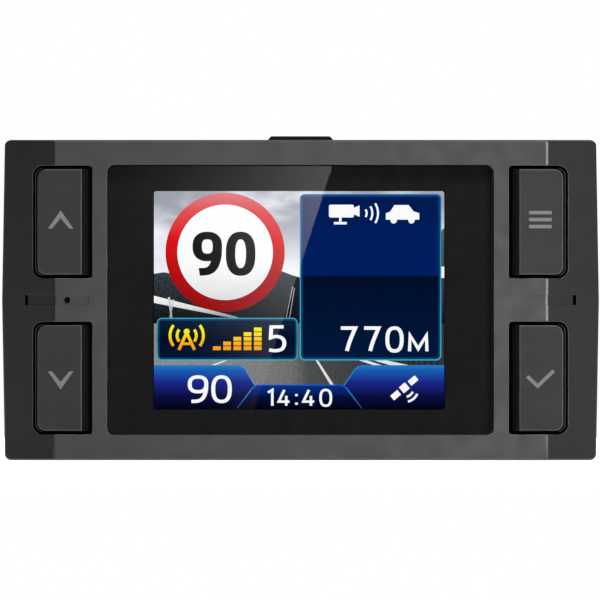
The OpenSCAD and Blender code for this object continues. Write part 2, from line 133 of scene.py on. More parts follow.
def split_place(tree):
    """The place on the object, split into X, Y and Z."""
    parts = node(tree, "SeparateXYZ")
    tree.links.new(place(tree), parts.inputs["Vector"])
    return parts.outputs


def mix(tree, factor, first, second, blend="MIX"):
    """Mixes two colours; each is a colour or an output."""
    made = node(tree, "Mix", data_type="RGBA", blend_type=blend)
    for index, source in ((6, first), (7, second)):
        if isinstance(source, bpy.types.NodeSocket):
            tree.links.new(source, made.inputs[index])
        else:
            made.inputs[index].default_value = (*source, 1)
    if isinstance(factor, bpy.types.NodeSocket):
        tree.links.new(factor, made.inputs[0])
    else:
        made.inputs[0].default_value = factor
    return made.outputs[2]


def relief(tree, principled, height, strength, depth):
    """Small bumps, depth metres high at full strength."""
    bump = node(tree, "Bump", Strength=strength, Distance=depth)
    tree.links.new(height, bump.inputs["Height"])
    tree.links.new(bump.outputs["Normal"], principled.inputs["Normal"])


def moulded(name, colour, roughness, grain=0.22 * MM, strength=0.25, spread=0.1, **sockets):
    """Moulded plastic: fine leathery grain, with slow changes of tone and gloss."""
    mat, tree, principled = shader(name, colour, roughness, **sockets)
    darker = [c * (1 - spread) for c in colour]
    lighter = [c * (1 + spread) for c in colour]
    slow = remap(tree, noise(tree, 9 * MM), 0, 1)
    tone = mix(tree, slow, darker, lighter)
    speck = remap(tree, noise(tree, grain, 2), 0.9, 1.1)
    speckled = mix(tree, 1, mix(tree, 0.5, tone, colour), speck, "MULTIPLY")
    tree.links.new(speckled, principled.inputs["Base Color"])
    gloss = remap(tree, noise(tree, 3 * MM), roughness * 0.94, roughness * 1.06)
    tree.links.new(gloss, principled.inputs["Roughness"])
    relief(tree, principled, noise(tree, grain, 2), strength, 0.012 * MM)
    return mat


def metal(name, colour, roughness, brushed=(1, 1, 1), strength=0.15):
    """Metal with fine marks, drawn out along the axes where brushed is small."""
    mat, tree, principled = shader(name, colour, roughness, 1.0)
    marks = noise(tree, 0.3 * MM, 4, brushed)
    tone = mix(tree, remap(tree, marks, 0, 1), [c * 0.86 for c in colour], colour)
    tree.links.new(tone, principled.inputs["Base Color"])
    tree.links.new(remap(tree, marks, roughness * 0.8, roughness * 1.25), principled.inputs["Roughness"])
    relief(tree, principled, marks, strength, 0.01 * MM)
    return mat


def circuit(name, colour):
    """Solder mask over copper: square traces, pads and vias."""
    mat, tree, principled = shader(name, colour, 0.35)
    cells = node(tree, "TexVoronoi", feature="F1", distance="MANHATTAN", Scale=1 / (2.2 * MM), Randomness=0.7)
    tree.links.new(place(tree), cells.inputs["Vector"])
    traces = node(tree, "TexBrick", Scale=1 / (1.1 * MM), offset=0.37)
    traces.inputs["Mortar Size"].default_value = 0.06
    tree.links.new(place(tree), traces.inputs["Vector"])
    copper = mix(tree, traces.outputs["Fac"], colour, [c * 1.7 for c in colour])
    pad = remap(tree, cells.outputs["Distance"], 1, 0, (0.1, 0.14))
    tree.links.new(mix(tree, pad, copper, (0.6, 0.5, 0.3)), principled.inputs["Base Color"])
    tree.links.new(remap(tree, pad, 0.4, 0.25, (0, 1)), principled.inputs["Roughness"])
    relief(tree, principled, traces.outputs["Fac"], 0.3, 0.02 * MM)
    return mat


def ink(name, colour, roughness=0.5):
    """Flat print with a faint cloudiness."""
    mat, tree, principled = shader(name, colour, roughness)
    cloud = remap(tree, noise(tree, 4 * MM, 4), 0, 1)
    tone = mix(tree, cloud, [c * 0.94 for c in colour], [c * 1.06 for c in colour])
    tree.links.new(tone, principled.inputs["Base Color"])
    gloss = remap(tree, noise(tree, 2 * MM), roughness * 0.95, roughness * 1.05)
    tree.links.new(gloss, principled.inputs["Roughness"])
    return mat


def clear(name, colour, ior=1.46, roughness=0.004, **sockets):
    """Glass or clear plastic with faint smears in its gloss."""
    mat, tree, principled = shader(name, colour, roughness, IOR=ior, Transmission_Weight=1.0, **sockets)
    smears = remap(tree, noise(tree, 6 * MM, 4), roughness * 0.5, roughness * 1.5)
    tree.links.new(smears, principled.inputs["Roughness"])
    return mat


def lets_lamps_through(mat):
    """Thin glass that casts no shadow on what is behind it."""
    tree = mat.node_tree
    rays = node(tree, "LightPath")
    see_through = node(tree, "BsdfTransparent")
    either = node(tree, "MixShader")
    tree.links.new(rays.outputs["Is Shadow Ray"], either.inputs[0])
    tree.links.new(tree.nodes["Principled BSDF"].outputs[0], either.inputs[1])
    tree.links.new(see_through.outputs[0], either.inputs[2])
    tree.links.new(either.outputs[0], tree.nodes["Material Output"].inputs["Surface"])


# ---------------------------------------------------------------- meshes

def finish_piece(obj, mat, body="case", replaced=()):
    """Gives a new piece its material, its body and the CAD nodes that it stands for."""
    obj.data.materials.clear()
    obj.data.materials.append(mat)
    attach(obj, body)
    if replaced:
        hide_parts(*replaced)
    return obj


def from_bmesh(bm, name):
    """A new object in the scene with that mesh."""
    mesh = bpy.data.meshes.new(name)
    bm.to_mesh(mesh)
    bm.free()
    obj = bpy.data.objects.new(name, mesh)
    bpy.context.scene.collection.objects.link(obj)
    return obj


def clean_copy(node_name):
    """A CAD node's mesh with its corners joined and its flat faces each in one piece."""
    bm = bmesh.new()
    bm.from_mesh(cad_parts[node_name].data)
    bmesh.ops.remove_doubles(bm, verts=bm.verts, dist=0.002 * MM)
    bmesh.ops.dissolve_limit(bm, angle_limit=math.radians(0.5), verts=bm.verts, edges=bm.edges)
    return bm


BEND_RANGE = (22, 32)              # degrees between which the bend of the cover lies
BEND_DEPTH = 0.6 * MM              # the bend lies no deeper than this behind the face
ROUND_STEPS = 3                    # flats that make up a rounded edge
SHARP = math.radians(20)           # an edge that turns more than this is rounded


def cut_flat(bm, width):
    """Cuts the edges where the flat middle of the face bends back into its ends, with a plain flat."""
    bends = []
    for edge in bm.edges:
        upright = abs(edge.verts[0].co.x - edge.verts[1].co.x) < 0.01 * MM
        near_face = all(v.co.y - FACE < BEND_DEPTH for v in edge.verts)
        if upright and near_face and BEND_RANGE[0] < math.degrees(edge.calc_face_angle(0)) < BEND_RANGE[1]:
            bends.append(edge)
    bmesh.ops.bevel(bm, geom=bends, offset=width, segments=1, profile=0.5, affect="EDGES")


def softened(node_name, mat, radius, body="case", finer=None, flat=0, others=(), edge_mat=None):
    """A CAD node with every sharp edge rounded, as a new piece that stands for it.

    finer takes the middle of an edge and gives the share of radius that this edge gets. flat is the width of
    the flat cut along the bends of the cover. others are more materials, each with a test that takes the
    middle and the direction of a face and says whether it gets it. edge_mat is the material of the rounded
    edges."""
    bm = clean_copy(node_name)
    if flat:
        cut_flat(bm, flat)
    weight = bm.edges.layers.float.new("bevel_weight_edge")
    for edge in bm.edges:
        if edge.calc_face_angle(0) > SHARP:
            middle_of_edge = (edge.verts[0].co + edge.verts[1].co) / 2
            edge[weight] = finer(middle_of_edge) if finer else 1
            edge.smooth = edge[weight] > 0
    obj = from_bmesh(bm, node_name + "_shape")
    for face in obj.data.polygons:
        face.use_smooth = not (flat and bend_flat(face.center, face.normal))
    bevel = obj.modifiers.new("edges", "BEVEL")
    bevel.width = radius
    bevel.segments = ROUND_STEPS
    bevel.limit_method = "WEIGHT"
    bevel.use_clamp_overlap = False
    bevel.miter_outer = "MITER_SHARP"
    bevel.face_strength_mode = "FSTR_ALL"
    normals = obj.modifiers.new("flat_faces", "WEIGHTED_NORMAL")
    normals.weight = 100
    normals.keep_sharp = True
    normals.use_face_influence = True
    finish_piece(obj, mat, body, [node_name])
    for index, (other, takes) in enumerate(others, 1):
        obj.data.materials.append(other)
        for face in obj.data.polygons:
            if takes(face.center, face.normal):
                face.material_index = index
    if edge_mat:
        bevel.material = len(obj.data.materials)
        obj.data.materials.append(edge_mat)
    return obj


# ---------------------------------------------------------------- flat shapes

def srgb(*levels):
    """A colour given as screen levels, 0 to 255, as the linear values that shaders take."""
    parts = [level / 255 for level in levels]
    return tuple(c / 12.92 if c <= 0.04045 else ((c + 0.055) / 1.055) ** 2.4 for c in parts)


def arc(cx, cz, radius, start, end, steps=10):
    """Points along an arc; start and end are degrees."""
    turns = [math.radians(start + (end - start) * i / steps) for i in range(steps + 1)]
    return [(cx + radius * math.cos(t), cz + radius * math.sin(t)) for t in turns]


def round_rect(x0, z0, x1, z1, radius):
    """A rectangle with rounded corners."""
    corners = ((x1 - radius, z1 - radius, 0), (x0 + radius, z1 - radius, 90),
               (x0 + radius, z0 + radius, 180), (x1 - radius, z0 + radius, 270))
    return [spot for cx, cz, start in corners for spot in arc(cx, cz, radius, start, start + 90, 6)]


def stroke(points, width, closed=False):
    """Four-sided outlines of a line of that width through points, with pointed corners and square ends."""
    count = len(points)
    spots = [Vector(p) for p in points]
    edges = []
    for i, here in enumerate(spots):
        before = spots[i - 1] if i or closed else None
        after = spots[(i + 1) % count] if i < count - 1 or closed else None
        into = (here - before).normalized() if before else (after - here).normalized()
        out = (after - here).normalized() if after else into
        mean = (into + out).normalized()
        side = Vector((-mean.y, mean.x)) * width / 2 / max(mean.dot(into), 0.3)
        edges.append((tuple(here + side), tuple(here - side)))
    runs = [(i, (i + 1) % count) for i in range(count if closed else count - 1)]
    return [[edges[i][0], edges[j][0], edges[j][1], edges[i][1]] for i, j in runs]


def curve(points, steps=7):
    """A smooth line through points."""
    spots = [Vector(p) for p in points]
    spots = [2 * spots[0] - spots[1], *spots, 2 * spots[-1] - spots[-2]]
    line = []
    for a, b, c, d in zip(spots, spots[1:], spots[2:], spots[3:]):
        for k in range(steps):
            t = k / steps
            line.append(0.5 * (2 * b + (c - a) * t + (2 * a - 5 * b + 4 * c - d) * t * t
                               + (3 * b - a - 3 * c + d) * t ** 3))
    return [tuple(p) for p in line] + [tuple(spots[-2])]


def bowl(x, z, half_w, half_h, power=2.5, steps=40):
    """A closed, slightly square ring."""
    ring = []
    for i in range(steps):
        c, s = math.cos(2 * math.pi * i / steps), math.sin(2 * math.pi * i / steps)
        ring.append((x + half_w * math.copysign(abs(c) ** (2 / power), c),
                     z + half_h * math.copysign(abs(s) ** (2 / power), s)))
    return ring


def moved(points, x, z, turn):
    """Points turned by that many degrees and moved by x, z."""
    c, s = math.cos(math.radians(turn)), math.sin(math.radians(turn))
    return [(x + (px * c - pz * s), z + (px * s + pz * c)) for px, pz in points]


def prisms(name, outlines, to_front, thickness):
    """Thin solids from flat outlines; outlines that share an edge become one solid."""
    bm = bmesh.new()
    for outline in outlines:
        bm.faces.new([bm.verts.new((x, 0, z)) for x, z in outline])
    bmesh.ops.remove_doubles(bm, verts=bm.verts, dist=1e-4)
    flat = bm.faces[:]
    for face in flat:
        face.normal_update()
        if face.normal.y > 0:
            face.normal_flip()
    made = bmesh.ops.extrude_face_region(bm, geom=flat)
    behind = {v for v in made["geom"] if isinstance(v, bmesh.types.BMVert)}
    for v in bm.verts:
        v.co = Vector(to_front(v.co.x, v.co.z)) + Vector((0, thickness if v in behind else 0, 0))
    bmesh.ops.recalc_face_normals(bm, faces=bm.faces)
    return from_bmesh(bm, name)


def picture(name, outlines, layer, mat):
    """Shapes of the picture, in millimetres from the lower left corner of the lit area."""
    def front(x, z):
        return (SCREEN_X + x * MM, SCREEN_Y - layer * LAYER, SCREEN_Z + z * MM)
    obj = prisms(name, outlines, front, LAYER_THICK)
    return finish_piece(obj, mat)


FIVE_BELLY = [(0.1, 0.54), (0.45, 0.6), (0.86, 0.52), (1, 0.3), (0.84, 0.07), (0.42, 0), (0, 0.03)]
NINE_TAIL = [(1, 0.7), (0.97, 0.42), (0.82, 0.16), (0.55, 0.03), (0.1, 0)]

# Each sign is its width and its lines in a box of 1 by 1: points, and whether the line is closed
SIGNS = {
    "0": (1, [(bowl(0.5, 0.5, 0.5, 0.5), True)]),
    "1": (0.42, [([(0, 0.84), (1, 1), (1, 0)], False)]),
    "4": (1.05, [([(0.52, 1), (0, 0.26), (1, 0.26)], False), ([(0.7, 0.62), (0.7, 0)], False)]),
    "5": (0.96, [([(0.95, 1), (0.14, 1), (0.1, 0.54)] + curve(FIVE_BELLY)[1:], False)]),
    "7": (1, [([(0, 1), (1, 1)] + curve([(1, 1), (0.62, 0.42), (0.42, 0)])[1:], False)]),
    "9": (1, [(bowl(0.5, 0.7, 0.5, 0.3), True), (curve(NINE_TAIL), False)]),
    "M": (1.15, [([(0, 0), (0.03, 1), (0.5, 0.16), (0.97, 1), (1, 0)], False)]),
    ":": (0.1, [([(0.5, 0.06), (0.5, 0.2)], False), ([(0.5, 0.6), (0.5, 0.74)], False)]),
}


def numerals(name, text, x0, z0, x1, z1, pen, layer, mat, flat_pen=0.84, gap=0.75):
    """Numbers of the picture that fill the box from x0, z0 to x1, z1, drawn with a pen that wide.

    flat_pen is the share of pen that level lines get, and gap the space between signs in pens."""
    widths = [SIGNS[sign][0] for sign in text]
    unit = (x1 - x0 - pen * (1 + gap) * (len(text) - 1) - pen) / sum(widths)
    tall = (z1 - z0) / flat_pen - pen
    outlines = []
    left = x0 + pen / 2
    for sign in text:
        wide, lines = SIGNS[sign]
        for points, closed in lines:
            spots = [(left + x * wide * unit, pen / 2 + z * tall) for x, z in points]
            for quad in stroke(spots, pen, closed):
                outlines.append([(x, z0 + z * flat_pen) for x, z in quad])
        left += wide * unit + pen * (1 + gap)
    return picture(name, outlines, layer, mat)


GLOW = 1.06                        # strength of the light of the display


def lit(name, stops, low, high, grain=0.05, axis="Z"):
    """A lit colour that runs through stops between low and high on the screen, in mm.

    A stop is its place, 0 to 1, and its screen levels. grain is how much the brightness varies."""
    mat, tree, principled = shader(name, (0, 0, 0), 0.6, Specular_IOR_Level=0.0, Emission_Strength=GLOW)
    start = SCREEN_Z if axis == "Z" else SCREEN_X
    along = scaled(tree, split_place(tree)[axis], (start + low * MM, start + high * MM))
    ramp = node(tree, "ValToRGB")
    while len(ramp.color_ramp.elements) < len(stops):
        ramp.color_ramp.elements.new(0.5)
    for element, (at, levels) in zip(ramp.color_ramp.elements, stops):
        element.position = at
        element.color = (*srgb(*levels), 1)
    tree.links.new(along, ramp.inputs["Fac"])
    speck = remap(tree, noise(tree, 0.3 * MM, 2), 1 - grain, 1 + grain)
    speckled = mix(tree, 1, ramp.outputs["Color"], speck, "MULTIPLY")
    tree.links.new(speckled, principled.inputs["Emission Color"])
    return mat


def clouds(name, dark, light, size, stretch, low, high):
    """A cloudy sky that is clear at low mm up the screen and full of clouds at high mm."""
    mat, tree, principled = shader(name, (0, 0, 0), 0.6, Specular_IOR_Level=0.0, Emission_Strength=GLOW)
    height = remap(tree, split_place(tree)["Z"], 0, 1, (SCREEN_Z + low * MM, SCREEN_Z + high * MM))
    billows = remap(tree, noise(tree, size, 4, stretch), 0, 1, (0.36, 0.6))
    cloudy = node(tree, "Math", operation="MULTIPLY")
    tree.links.new(height, cloudy.inputs[0])
    tree.links.new(billows, cloudy.inputs[1])
    colour = mix(tree, cloudy.outputs[0], srgb(*light), srgb(*dark))
    tree.links.new(colour, principled.inputs["Emission Color"])
    return mat


# ---------------------------------------------------------------- materials of the parts

cover_plastic = moulded("cover_plastic", (0.019, 0.019, 0.0195), 0.37, strength=0.12)
polished_edge = moulded("polished_edge", (0.03, 0.03, 0.031), 0.1, strength=0.02)
cover_rim = moulded("cover_rim", (0.019, 0.019, 0.0195), 0.33, strength=0.05, IOR=2.0)
# Painted shade: a darker, less glossy copy of the cover plastic for the groove floors on the bent-back ends,
# standing in for the shade that falls there.
groove_floor_painted_shade = moulded("groove_floor_painted_shade", (0.013, 0.013, 0.0134), 0.42, Specular_IOR_Level=0.35)
button_rim = moulded("button_rim", (0.026, 0.026, 0.0265), 0.4, strength=0.05, IOR=1.9)
rear_plastic = moulded("rear_plastic", (0.014, 0.014, 0.015), 0.48, strength=0.3)
button_plastic = moulded("button_plastic", (0.0268, 0.0268, 0.0274), 0.58, strength=0.15)
# Painted shade: a much darker copy of the button plastic for the slope on the inner side of each button,
# standing in for the shade on it.
button_slope_painted_shade = moulded("button_slope_painted_shade", (0.007, 0.007, 0.0072), 0.65, strength=0.15, Specular_IOR_Level=0.3)
# Painted shade: near-black matte plastic for the walls of the openings and slots and for the deep faces of
# the buttons, standing in for the shade in the gaps.
gap_painted_shade = moulded("gap_painted_shade", (0.0015, 0.0015, 0.0015), 0.9, Specular_IOR_Level=0.05)
black_print = ink("black_print", (0.0055, 0.0055, 0.0055), 0.8)
edge_ink = ink("edge_ink", (0.006, 0.006, 0.006), 0.4)
black_plastic = moulded("black_plastic", (0.012, 0.012, 0.012), 0.5)
plate_plastic = moulded("plate_plastic", (0.009, 0.009, 0.0095), 0.4, strength=0.2)
ferrite = moulded("ferrite", (0.07, 0.072, 0.076), 0.55, strength=0.5)
chip_plastic = moulded("chip_plastic", (0.012, 0.012, 0.013), 0.45, grain=0.1 * MM)
film = moulded("pressed_film", (0.01, 0.01, 0.01), 0.35, grain=0.5 * MM)
rubber = moulded("soft_rubber", (0.01, 0.01, 0.01), 0.75, strength=0.35)
red_lead = moulded("red_lead", (0.3, 0.02, 0.02), 0.5)
black_lead = moulded("black_lead", (0.012, 0.012, 0.012), 0.5)
amber_film = moulded("amber_film", (0.42, 0.2, 0.05), 0.3, grain=0.6 * MM, strength=0.1)
foil = metal("battery_foil", (0.5, 0.52, 0.55), 0.35, (0.2, 1, 1), 0.4)
ceramic = moulded("fired_ceramic", (0.55, 0.47, 0.34), 0.55, grain=0.15 * MM, spread=0.06)
sheet_steel = metal("sheet_steel", (0.6, 0.61, 0.62), 0.32, (0.08, 1, 1))
plated_steel = metal("plated_steel", (0.33, 0.34, 0.35), 0.3, (1, 0.2, 1))
magnet_plating = metal("magnet_plating", (0.6, 0.6, 0.61), 0.22)
cast_metal = metal("cast_metal", (0.55, 0.56, 0.57), 0.45, (1, 1, 1), 0.5)
sink_metal = metal("sink_metal", (0.5, 0.52, 0.53), 0.4, (1, 1, 0.1))
gold = metal("gold_plating", (0.8, 0.55, 0.2), 0.25)
mic_metal = metal("mic_metal", (0.6, 0.6, 0.61), 0.35)
dark_anodised = metal("dark_anodised", (0.07, 0.072, 0.078), 0.3, (1, 0.06, 1), 0.2)
green_board = circuit("green_board", (0.012, 0.09, 0.04))
blue_board = circuit("blue_board", (0.02, 0.07, 0.16))
window_glass = clear("window_glass", (0.97, 0.98, 1.0))
lets_lamps_through(window_glass)
lens_glass = clear("lens_glass", (0.9, 0.94, 1.0), 1.6, Thin_Film_Thickness=420.0, Thin_Film_IOR=1.38)
red_filter = clear("red_filter", (0.22, 0.008, 0.012), 1.49)
sensor_glass = moulded("sensor_glass", (0.03, 0.04, 0.08), 0.08, strength=0.02, Coat_Weight=0.6)
panel_back = moulded("panel_back", (0.004, 0.004, 0.005), 0.85, strength=0.05, Specular_IOR_Level=0.1)

PLAIN = {
    "display_mask": black_print, "lcd_panel": panel_back, "lcd_frame": sheet_steel, "lcd_ribbon": amber_film,
    "display_board": green_board, "switch_bodies": sheet_steel, "microphone": mic_metal,
    "microphone_boot": rubber, "backup_battery": foil, "board_connector": black_plastic,
    "main_board": green_board, "processor": chip_plastic, "heat_sink": sink_metal,
    "memory_chips": chip_plastic, "power_coils": ferrite, "card_socket": sheet_steel,
    "usb_tongue": black_plastic, "radar_board": blue_board,
    "radar_horn": cast_metal, "radar_shield": sheet_steel, "laser_lens": lens_glass,
    "laser_sensor": chip_plastic, "laser_board": green_board, "camera_board": green_board,
    "image_sensor": sensor_glass, "lens_holder": black_plastic, "inner_lenses": lens_glass,
    "camera_ribbon": amber_film, "camera_screws": plated_steel, "speaker_frame": black_plastic,
    "speaker_cone": film, "speaker_magnet": magnet_plating, "speaker_leads": red_lead,
    "gps_board": green_board, "gps_antenna": ceramic, "gps_lead": black_lead,
    "mount_magnets": magnet_plating,
    "up_plunger": black_plastic, "down_plunger": black_plastic, "menu_plunger": black_plastic,
    "ok_plunger": black_plastic, "front_lens": lens_glass,
}
for node_name, mat in PLAIN.items():
    for place_in_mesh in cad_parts[node_name].material_slots:
        place_in_mesh.material = mat

# ---------------------------------------------------------------- case and buttons

KEY_BOXES = [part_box(node_name) for node_name in KEYS.values()]
FLANGE = 0.6 * MM                  # a button's flange reaches this far past its opening on every side
NEAR = 0.3 * MM                    # an edge this close to the window or to an opening belongs to it
GROOVE_FROM = 29 * MM              # the grooves lie between these distances from the middle
GROOVE_TO = 39 * MM
GROOVE_DEPTH = 4 * MM              # and no deeper than this behind the face, with their slots
SLOT_WALL = 38.2 * MM              # the slot at the outer end of a groove starts here
SLOT_FLOOR = 3 * MM                # its floor is deeper than this
WING_FLOOR = (35.5 * MM, 37.5 * MM)  # the middle of its floor on the bent-back end lies between these
SIDES_FROM = 5 * MM                # behind this the edges belong to the sides of the cover
SKIRT_FROM = 0.9 * MM              # behind this a button's edges belong to its skirt
DEEP_FROM = 1.9 * MM               # behind this its front faces are out of the light, and they get near-black painted shade
GROOVE_HALF = 1 * MM               # their edges lie within this of half height
BEND_FLAT_TURN = (11, 16)          # degrees between which the flat cut along a bend is turned outwards
CREST = 2.08 * MM                  # from the inner end of the flange to the crest of a button
WINDOW_HALF = (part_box("display_window")[1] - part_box("display_window")[0]) / 2

# The share of the full rounding that the finer edges get
OPENING_SHARE = 0.5
GROOVE_SHARE = 0.12
WINDOW_SHARE = 0.3
SIDE_SHARE = 0.5
CREST_SHARE = 0.4


def at_opening(spot):
    """Whether a place is at the edge or in the wall of the opening of a button."""
    return any(low.x + FLANGE - NEAR < spot.x < high.x - FLANGE + NEAR
               and low.z + FLANGE - NEAR < spot.z < high.z - FLANGE + NEAR for low, high in KEY_BOXES)


def in_groove(spot):
    """Whether a place is on a groove of the face or in the slot at its outer end."""
    return (GROOVE_FROM < abs(spot.x) < GROOVE_TO and abs(spot.z - MID_Z) < GROOVE_HALF
            and spot.y < FACE + GROOVE_DEPTH)


def cover_edges(spot):
    """The share of the full rounding for an edge of the cover."""
    if at_opening(spot):
        return OPENING_SHARE
    if in_groove(spot):
        return GROOVE_SHARE
    if abs(spot.x) < WINDOW_HALF.x + NEAR and abs(spot.z - MID_Z) < WINDOW_HALF.z + NEAR:
        return WINDOW_SHARE
    if spot.y > FACE + SIDES_FROM:
        return SIDE_SHARE
    return 1


def in_gap(spot, direction):
    """A wall of the opening of a button: these walls get near-black painted shade."""
    return at_opening(spot) and abs(direction.y) < 0.5


def in_slot(spot, direction):
    """A wall or the floor of the slot at the end of a groove: these get near-black painted shade."""
    wall_or_floor = abs(direction.y) < 0.5 or spot.y > FACE + SLOT_FLOOR
    return in_groove(spot) and abs(spot.x) > SLOT_WALL and wall_or_floor


def groove_wing(spot, direction):
    """The floor of a groove on the bent-back end, told from the end itself by its place further in. It gets
    painted shade: a darker, less glossy plastic.
    """
    return in_groove(spot) and WING_FLOOR[0] < abs(spot.x) < WING_FLOOR[1] and abs(direction.x) > 0.3


def bend_flat(spot, direction):
    """The flat cut along a bend of the cover: it faces half as far round as the bent-back end."""
    turn = abs(math.degrees(math.atan2(direction.x, -direction.y)))
    return BEND_FLAT_TURN[0] < turn < BEND_FLAT_TURN[1] and abs(direction.z) < 0.1


def button_edges(spot):
    """Full rounding round the top, less at the crest and the slope, none on the skirt inside the opening."""
    if spot.y > FACE + SKIRT_FROM:
        return 0
    crest_x = min(min(abs(low.x), abs(high.x)) for low, high in KEY_BOXES) + CREST
    return CREST_SHARE if abs(spot.x) < crest_x + 0.1 * MM else 1


def on_slope(spot, direction):
    """The long slope on the inner side of a button, which gets darker painted shade."""
    return abs(direction.x) > 0.6 and -0.9 < direction.y < -0.4


def deep(spot, direction):
    """A face of a button down in the gap round it: these faces get near-black painted shade."""
    return spot.y > FACE + DEEP_FROM and direction.y < -0.5


# On the cover, the walls of the openings and slots get near-black painted shade, and the groove floors on the
# bent-back ends get darker painted shade.
softened("front_cover", cover_plastic, 0.2 * MM, finer=cover_edges, flat=0.17 * MM,
         others=[(polished_edge, bend_flat), (gap_painted_shade, in_gap), (gap_painted_shade, in_slot),
                 (groove_floor_painted_shade, groove_wing)], edge_mat=cover_rim)
softened("rear_cover", rear_plastic, 0.16 * MM)
# On the buttons, the inner slopes get darker painted shade, and the faces deep in the gap get near-black
# painted shade.
for key, node_name in KEYS.items():
    softened(node_name, button_plastic, 0.22 * MM, body=key + "_key", finer=button_edges,
             others=[(button_slope_painted_shade, on_slope), (gap_painted_shade, deep)], edge_mat=button_rim)

LIP_IN = 0.37 * MM                 # from the wall of the opening to the middle of the lip
LIP_WIDE = 0.13                    # mm
LIP_BEND = 1.1                     # mm, radius of its corners
LIP_FRONT = 1.6 * MM               # behind the face
LIP_DEEP = 0.95 * MM


def lip(key):
    """The thin lip on the skirt of a button, seen in the gap on its outer side."""
    low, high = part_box(KEYS[key])
    side = 1 if low.x > 0 else -1
    outer = (max(abs(low.x), abs(high.x)) - FLANGE - LIP_IN) / MM
    top, bottom = (high.z - FLANGE - LIP_IN) / MM, (low.z + FLANGE + LIP_IN) / MM
    path = arc(outer - LIP_BEND, top - LIP_BEND, LIP_BEND, 80, 0, 12)
    path += arc(outer - LIP_BEND, bottom + LIP_BEND, LIP_BEND, 0, -80, 12)
    quads = [[(side * x, z) for x, z in quad] for quad in stroke(path, LIP_WIDE)]

    def front(x, z):
        return (x * MM, FACE + LIP_FRONT, z * MM)
    finish_piece(prisms(key + "_lip", quads, front, LIP_DEEP), button_plastic, key + "_key")


for key in KEYS:
    lip(key)
window = softened("display_window", window_glass, 0.06 * MM)
window.data.materials.append(edge_ink)
window.modifiers["edges"].material = 1
for face in window.data.polygons:
    face.material_index = 0 if abs(face.normal.y) > 0.9 else 1
softened("laser_window", red_filter, 0.15 * MM)
softened("lens_ring", dark_anodised, 0.12 * MM)
softened("lens_barrel", black_plastic, 0.1 * MM)
softened("mount_plate", plate_plastic, 0.08 * MM)
softened("contact_pads", gold, 0.08 * MM)
softened("housing_screws", plated_steel, 0.06 * MM)
softened("usb_socket", sheet_steel, 0.05 * MM)

# ---------------------------------------------------------------- symbols printed on the buttons

PAINT_PROUD = 0.012 * MM           # the paint stands this far in front of the button
PAINT_THICK = 0.02 * MM
symbol_paint = moulded("symbol_paint", srgb(140, 140, 141), 0.6, grain=0.12 * MM, strength=0.1, spread=0.04)


def printed(name, outlines, key, x, z):
    """A symbol centred at x, z, in mm, laid on the top of a button."""
    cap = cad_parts[KEYS[key]]
    tree = BVHTree.FromPolygons([v.co for v in cap.data.vertices], [p.vertices for p in cap.data.polygons])

    def front(px, pz):
        start = Vector(((x + px) * MM, FACE - 5 * MM, MID_Z + (z + pz) * MM))
        hit = tree.ray_cast(start, Vector((0, 1, 0)))[0]
        return hit - Vector((0, PAINT_PROUD, 0))

    obj = prisms(name, outlines, front, PAINT_THICK)
    return finish_piece(obj, symbol_paint, key + "_key")


CHEVRON = [(-1.79, -1.27), (0, 1.28), (1.79, -1.27), (1.22, -1.27), (0, 0.22), (-1.22, -1.27)]
SYMBOL_X = 33.7
SYMBOL_Z = 11.3
printed("up_symbol", [CHEVRON], "up", -SYMBOL_X, SYMBOL_Z)
printed("down_symbol", [moved(CHEVRON, 0, 0, turn=180)], "down", -SYMBOL_X, -SYMBOL_Z)
printed("ok_symbol", stroke([(-1.85, 0.58), (-0.38, -0.8), (1.88, 1.36)], 0.5), "ok", SYMBOL_X, -SYMBOL_Z)
BARS = [quad for z in (-0.98, 0, 0.98) for quad in stroke([(-1.6, z), (1.6, z)], 0.48)]
printed("menu_symbol", BARS, "menu", SYMBOL_X, SYMBOL_Z)

# ---------------------------------------------------------------- the picture on the display

sky = clouds("sky", (160, 163, 173), (248, 249, 252), 9 * MM, (0.7, 1, 1.3), 17.5, 28)
picture("sky", [[(0, 0), (SCREEN_W, 0), (SCREEN_W, SCREEN_H), (0, SCREEN_H)]], 0, sky)

HILLS = [(0, 12), (20.8, 12), (20.8, 18.4), (19.4, 18.8), (17.6, 19.5), (15, 18.6), (9, 17.6), (3.2, 18.9),
         (1.4, 19.2), (0, 19)]
hill_greys = lit("hills", [(0, (16, 19, 22)), (0.45, (38, 44, 48)), (0.8, (48, 56, 64)), (1, (60, 69, 80))],
                 12.5, 19.6, 0.45)
picture("hills", [HILLS], 1, hill_greys)
TOWER = [(18.4, 12), (20.8, 12), (20.8, 18.2), (19.9, 18.5)]
picture("tower", [TOWER], 2, lit("tower", [(0, (14, 17, 21)), (1, (34, 38, 44))], 12, 18, 0.3))
cable = lit("cable", [(0, (150, 152, 155)), (1, (205, 208, 212))], 12, 18, 0.1)
CABLES = stroke([(18.5, 12.4), (19.5, 17.2)], 0.1) + stroke([(19.0, 12.4), (19.75, 17)], 0.1)
picture("cables", CABLES, 3, cable)

